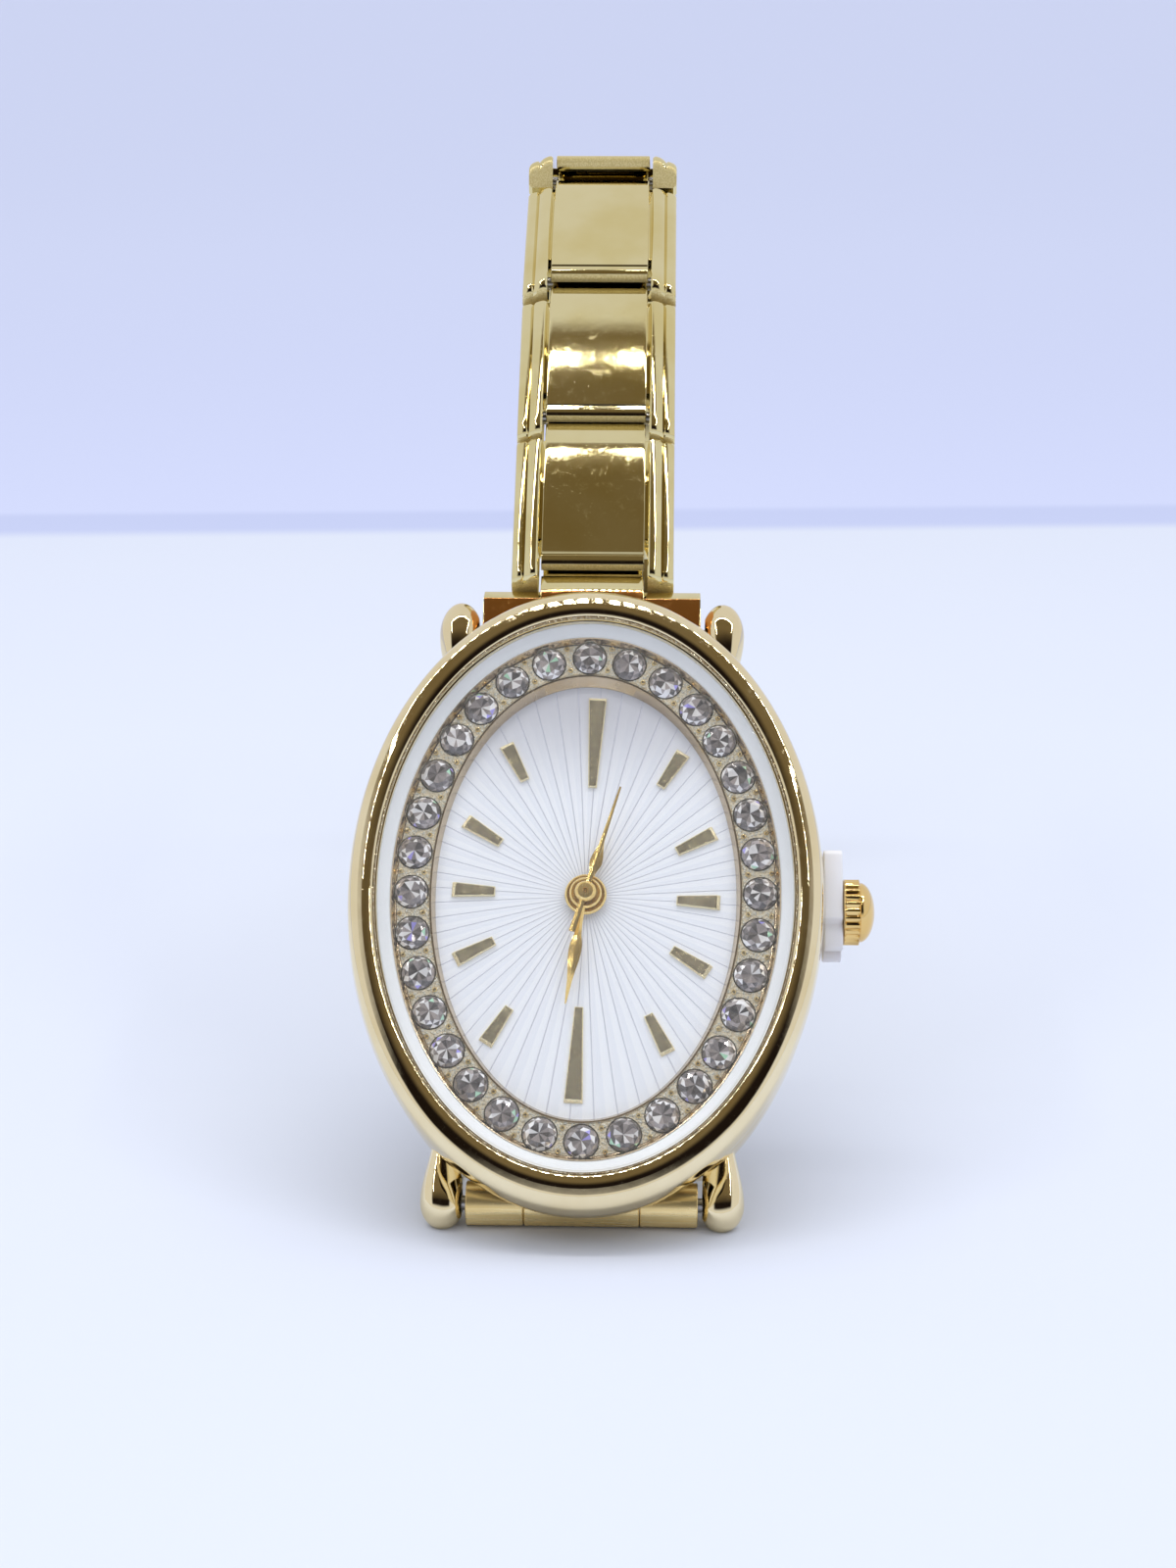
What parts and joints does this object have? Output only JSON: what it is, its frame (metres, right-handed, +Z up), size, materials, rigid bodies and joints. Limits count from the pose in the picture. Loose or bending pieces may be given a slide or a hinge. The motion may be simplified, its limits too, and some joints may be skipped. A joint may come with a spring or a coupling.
{
  "type": "wristwatch",
  "caption": "Oval ladies' wristwatch with a ring of stones, slim hands and a stretch bracelet of hinged links, standing in a closed loop with its crown pulled out on a spacer.",
  "frame": {"origin": "on the table, under the middle of the cover plate of the last link but one", "axes": "+X towards the crown at 3 o'clock, +Y from the case towards the back of the bracelet's loop, +Z up from the table"},
  "size_m": [0.0276, 0.0709, 0.0525],
  "materials": {
    "case_gold": "polished",
    "link_gold": "polished",
    "hand_gold": "polished",
    "stone_gold": "grained",
    "pin_steel": "turned",
    "back_steel": "brushed",
    "gasket_rubber": "moulded",
    "crystal_glass": "polished",
    "stone_glass": "cut",
    "white_ring": "smooth",
    "dial_silver": "rayed",
    "movement_plastic": "moulded",
    "plate_metal": "stamped",
    "battery_steel": "stamped",
    "board_green": "coated",
    "magnet_grey": "sintered",
    "wheel_brass": "stamped",
    "spacer_white": "moulded"
  },
  "bodies": {
    "case": {"case_body": "case_gold", "case_back": "back_steel", "back_gasket": "gasket_rubber", "bezel": "case_gold", "crystal": "crystal_glass", "chapter_ring": "white_ring", "stone_ring": "stone_gold", "stones": "stone_glass", "dial": "dial_silver", "hour_markers": "hand_gold", "movement_ring": "movement_plastic", "main_plate": "plate_metal", "battery": "battery_steel", "circuit_board": "board_green", "spring_bar_tubes": "pin_steel"},
    "rotor": {"rotor": "magnet_grey"},
    "seconds": {"seconds_wheel": "wheel_brass", "seconds_hand": "hand_gold"},
    "minutes": {"center_wheel": "wheel_brass", "minute_hand": "hand_gold"},
    "minute_wheel": {"minute_wheel": "wheel_brass"},
    "hours": {"hour_wheel": "wheel_brass", "hour_hand": "hand_gold"},
    "setting_lever": {"setting_lever": "plate_metal"},
    "crown": {"crown": "case_gold", "stem": "pin_steel"},
    "crown_spacer": {"crown_spacer": "spacer_white"},
    "upper_bar_pin_left": {"upper_bar_pin_left": "pin_steel"},
    "upper_bar_pin_right": {"upper_bar_pin_right": "pin_steel"},
    "lower_bar_pin_left": {"lower_bar_pin_left": "pin_steel"},
    "lower_bar_pin_right": {"lower_bar_pin_right": "pin_steel"},
    "upper_adapter": {"upper_adapter": "link_gold"},
    "lower_adapter": {"lower_adapter": "link_gold"},
    "link_01": {"link_01": "link_gold"},
    "link_02": {"link_02": "link_gold"},
    "link_03": {"link_03": "link_gold"},
    "link_04": {"link_04": "link_gold"},
    "link_05": {"link_05": "link_gold"},
    "link_06": {"link_06": "link_gold"},
    "link_07": {"link_07": "link_gold"},
    "link_08": {"link_08": "link_gold", "link_pin_08": "pin_steel"},
    "link_09": {"link_09": "link_gold"},
    "link_10": {"link_10": "link_gold"},
    "link_11": {"link_11": "link_gold"},
    "link_12": {"link_12": "link_gold"},
    "link_13": {"link_13": "link_gold"},
    "link_14": {"link_14": "link_gold"},
    "link_pin_02": {"link_pin_02": "pin_steel"},
    "link_pin_03": {"link_pin_03": "pin_steel"},
    "link_pin_04": {"link_pin_04": "pin_steel"},
    "link_pin_05": {"link_pin_05": "pin_steel"},
    "link_pin_06": {"link_pin_06": "pin_steel"},
    "link_pin_07": {"link_pin_07": "pin_steel"},
    "link_pin_09": {"link_pin_09": "pin_steel"},
    "link_pin_10": {"link_pin_10": "pin_steel"},
    "link_pin_11": {"link_pin_11": "pin_steel"},
    "link_pin_12": {"link_pin_12": "pin_steel"},
    "link_pin_13": {"link_pin_13": "pin_steel"},
    "link_pin_14": {"link_pin_14": "pin_steel"}
  },
  "joints": [
    {"name": "upper_adapter_swing", "type": "hinge", "parent": "case", "child": "upper_adapter", "pos_m": [0, -0.00179, 0.02752], "axis": [1, 0, 0], "range_deg": [0, 12]},
    {"name": "link_01_fold", "type": "hinge", "parent": "upper_adapter", "child": "link_01", "pos_m": [0, 0.00084, 0.03105], "axis": [1, 0, 0], "range_deg": [0, 4]},
    {"name": "link_02_fold", "type": "hinge", "parent": "link_01", "child": "link_pin_02", "pos_m": [0, 0.00775, 0.03828], "axis": [1, 0, 0], "range_deg": [-1, 0]},
    {"name": "link_02_stretch", "type": "slide", "parent": "link_pin_02", "child": "link_02", "axis": [0, 0.7157, 0.6984], "range_m": [0, 0.0012]},
    {"name": "link_03_fold", "type": "hinge", "parent": "link_02", "child": "link_pin_03", "pos_m": [0, 0.01491, 0.04526], "axis": [1, 0, 0], "range_deg": [0, 9]},
    {"name": "link_03_stretch", "type": "slide", "parent": "link_pin_03", "child": "link_03", "axis": [0, 0.8453, 0.5344], "range_m": [0, 0.0012]},
    {"name": "link_04_fold", "type": "hinge", "parent": "link_03", "child": "link_pin_04", "pos_m": [0, 0.02336, 0.05061], "axis": [1, 0, 0], "range_deg": [0, 39]},
    {"name": "link_04_stretch", "type": "slide", "parent": "link_pin_04", "child": "link_04", "axis": [0, 0.9857, -0.1685], "range_m": [0, 0.0012]},
    {"name": "link_05_fold", "type": "hinge", "parent": "link_04", "child": "link_pin_05", "pos_m": [0, 0.03322, 0.04892], "axis": [1, 0, 0], "range_deg": [0, 24.03]},
    {"name": "link_05_stretch", "type": "slide", "parent": "link_pin_05", "child": "link_05", "axis": [0, 0.8015, -0.598], "range_m": [0, 0.0012]},
    {"name": "link_06_fold", "type": "hinge", "parent": "link_05", "child": "link_pin_06", "pos_m": [0, 0.04123, 0.04294], "axis": [1, 0, 0], "range_deg": [0, 25.6]},
    {"name": "link_06_stretch", "type": "slide", "parent": "link_pin_06", "child": "link_06", "axis": [0, 0.4175, -0.9087], "range_m": [0, 0.0012]},
    {"name": "link_07_fold", "type": "hinge", "parent": "link_06", "child": "link_pin_07", "pos_m": [0, 0.04541, 0.03386], "axis": [1, 0, 0], "range_deg": [0, 23.02]},
    {"name": "link_07_stretch", "type": "slide", "parent": "link_pin_07", "child": "link_07", "axis": [0, -0.0235, -0.9997], "range_m": [0, 0.0012]},
    {"name": "lower_adapter_swing", "type": "hinge", "parent": "case", "child": "lower_adapter", "pos_m": [0, -0.01937, 0.00115], "axis": [1, 0, 0], "range_deg": [-129.83, 0]},
    {"name": "link_14_fold", "type": "hinge", "parent": "lower_adapter", "child": "link_14", "pos_m": [0, -0.015, 0.00162], "axis": [1, 0, 0], "range_deg": [-4, 0]},
    {"name": "link_14_stretch", "type": "slide", "parent": "link_14", "child": "link_pin_14", "axis": [0, 1, 0], "range_m": [0, 0.0012]},
    {"name": "link_13_fold", "type": "hinge", "parent": "link_pin_14", "child": "link_13", "pos_m": [0, -0.005, 0.00162], "axis": [1, 0, 0], "range_deg": [0, 3]},
    {"name": "link_13_stretch", "type": "slide", "parent": "link_13", "child": "link_pin_13", "axis": [0, 1, 0], "range_m": [0, 0.0012]},
    {"name": "link_12_fold", "type": "hinge", "parent": "link_pin_13", "child": "link_12", "pos_m": [0, 0.005, 0.00162], "axis": [1, 0, 0], "range_deg": [0, 3]},
    {"name": "link_12_stretch", "type": "slide", "parent": "link_12", "child": "link_pin_12", "axis": [0, 1, 0], "range_m": [0, 0.0012]},
    {"name": "link_11_fold", "type": "hinge", "parent": "link_pin_12", "child": "link_11", "pos_m": [0, 0.015, 0.00162], "axis": [1, 0, 0], "range_deg": [-7.29, 0]},
    {"name": "link_11_stretch", "type": "slide", "parent": "link_11", "child": "link_pin_11", "axis": [0, 0.9839, 0.1787], "range_m": [0, 0.0012]},
    {"name": "link_10_fold", "type": "hinge", "parent": "link_pin_11", "child": "link_10", "pos_m": [0, 0.02484, 0.00341], "axis": [1, 0, 0], "range_deg": [-12.73, 0]},
    {"name": "link_10_stretch", "type": "slide", "parent": "link_10", "child": "link_pin_10", "axis": [0, 0.8986, 0.4387], "range_m": [0, 0.0012]},
    {"name": "link_09_fold", "type": "hinge", "parent": "link_pin_10", "child": "link_09", "pos_m": [0, 0.03383, 0.00779], "axis": [1, 0, 0], "range_deg": [-15.3, 0]},
    {"name": "link_09_stretch", "type": "slide", "parent": "link_09", "child": "link_pin_09", "axis": [0, 0.7154, 0.6987], "range_m": [0, 0.0012]},
    {"name": "link_08_fold", "type": "hinge", "parent": "link_pin_09", "child": "link_08", "pos_m": [0, 0.04098, 0.01478], "axis": [1, 0, 0], "range_deg": [-17.88, 0]},
    {"name": "seconds_hand_turn", "type": "hinge", "parent": "case", "child": "seconds", "pos_m": [0, -0.01125, 0.01478], "axis": [0, 0.832, -0.5548], "continuous": true},
    {"name": "rotor_turn", "type": "hinge", "parent": "case", "child": "rotor", "pos_m": [-0.0016, -0.00889, 0.01651], "axis": [0, 0.832, -0.5548], "continuous": true},
    {"name": "minute_hand_turn", "type": "hinge", "parent": "case", "child": "minutes", "pos_m": [0, -0.01125, 0.01478], "axis": [0, 0.832, -0.5548], "continuous": true},
    {"name": "minute_wheel_turn", "type": "hinge", "parent": "case", "child": "minute_wheel", "pos_m": [0.00275, -0.01208, 0.01533], "axis": [0, 0.832, -0.5548], "continuous": true},
    {"name": "hour_hand_turn", "type": "hinge", "parent": "case", "child": "hours", "pos_m": [0, -0.01208, 0.01533], "axis": [0, 0.832, -0.5548], "continuous": true},
    {"name": "spacer_pull_off", "type": "slide", "parent": "case", "child": "crown_spacer", "axis": [0, 0.5548, 0.832], "range_m": [0, 0.0316]},
    {"name": "crown_press", "type": "slide", "parent": "case", "child": "setting_lever", "axis": [-1, 0, 0], "range_m": [0, 0.00095]},
    {"name": "crown_turn", "type": "hinge", "parent": "setting_lever", "child": "crown", "pos_m": [0.013, -0.01075, 0.01445], "axis": [1, 0, 0], "continuous": true},
    {"name": "upper_bar_pin_left_press", "type": "slide", "parent": "case", "child": "upper_bar_pin_left", "axis": [1, 0, 0], "range_m": [0, 0.0009], "stiffness_N_per_m": 300, "springref_m": -0.0005},
    {"name": "upper_bar_pin_right_press", "type": "slide", "parent": "case", "child": "upper_bar_pin_right", "axis": [-1, 0, 0], "range_m": [0, 0.0009], "stiffness_N_per_m": 300, "springref_m": -0.0005},
    {"name": "lower_bar_pin_left_press", "type": "slide", "parent": "case", "child": "lower_bar_pin_left", "axis": [1, 0, 0], "range_m": [0, 0.0009], "stiffness_N_per_m": 300, "springref_m": -0.0005},
    {"name": "lower_bar_pin_right_press", "type": "slide", "parent": "case", "child": "lower_bar_pin_right", "axis": [-1, 0, 0], "range_m": [0, 0.0009], "stiffness_N_per_m": 300, "springref_m": -0.0005}
  ],
  "couplings": [
    {"joint": "link_01_fold", "follows": "link_02_stretch", "rad_per_m": 58.178},
    {"joint": "link_02_fold", "follows": "link_02_stretch", "rad_per_m": -14.544},
    {"joint": "link_03_fold", "follows": "link_02_stretch", "rad_per_m": 130.9},
    {"joint": "link_03_stretch", "follows": "link_02_stretch", "ratio": 1},
    {"joint": "link_04_fold", "follows": "link_02_stretch", "rad_per_m": 567.23},
    {"joint": "link_04_stretch", "follows": "link_02_stretch", "ratio": 1},
    {"joint": "link_05_fold", "follows": "link_02_stretch", "rad_per_m": 349.44},
    {"joint": "link_05_stretch", "follows": "link_02_stretch", "ratio": 1},
    {"joint": "link_06_fold", "follows": "link_02_stretch", "rad_per_m": 372.31},
    {"joint": "link_06_stretch", "follows": "link_02_stretch", "ratio": 1},
    {"joint": "link_07_fold", "follows": "link_02_stretch", "rad_per_m": 334.87},
    {"joint": "link_07_stretch", "follows": "link_02_stretch", "ratio": 1},
    {"joint": "link_14_fold", "follows": "link_14_stretch", "rad_per_m": -58.178},
    {"joint": "link_13_fold", "follows": "link_14_stretch", "rad_per_m": 43.633},
    {"joint": "link_12_fold", "follows": "link_14_stretch", "rad_per_m": 43.633},
    {"joint": "link_11_fold", "follows": "link_14_stretch", "rad_per_m": -106.07},
    {"joint": "link_10_fold", "follows": "link_14_stretch", "rad_per_m": -185.14},
    {"joint": "link_09_fold", "follows": "link_14_stretch", "rad_per_m": -222.57},
    {"joint": "link_08_fold", "follows": "link_14_stretch", "rad_per_m": -260.01},
    {"joint": "link_13_stretch", "follows": "link_14_stretch", "ratio": 1},
    {"joint": "link_12_stretch", "follows": "link_14_stretch", "ratio": 1},
    {"joint": "link_11_stretch", "follows": "link_14_stretch", "ratio": 1},
    {"joint": "link_10_stretch", "follows": "link_14_stretch", "ratio": 1},
    {"joint": "link_09_stretch", "follows": "link_14_stretch", "ratio": 1},
    {"joint": "rotor_turn", "follows": "seconds_hand_turn", "ratio": -7.5},
    {"joint": "spacer_pull_off", "follows": "crown_press", "ratio": 33.26},
    {"joint": "minute_hand_turn", "follows": "crown_turn", "ratio": 0.5},
    {"joint": "minute_wheel_turn", "follows": "crown_turn", "ratio": -0.16667},
    {"joint": "hour_hand_turn", "follows": "crown_turn", "ratio": 0.041667}
  ]
}
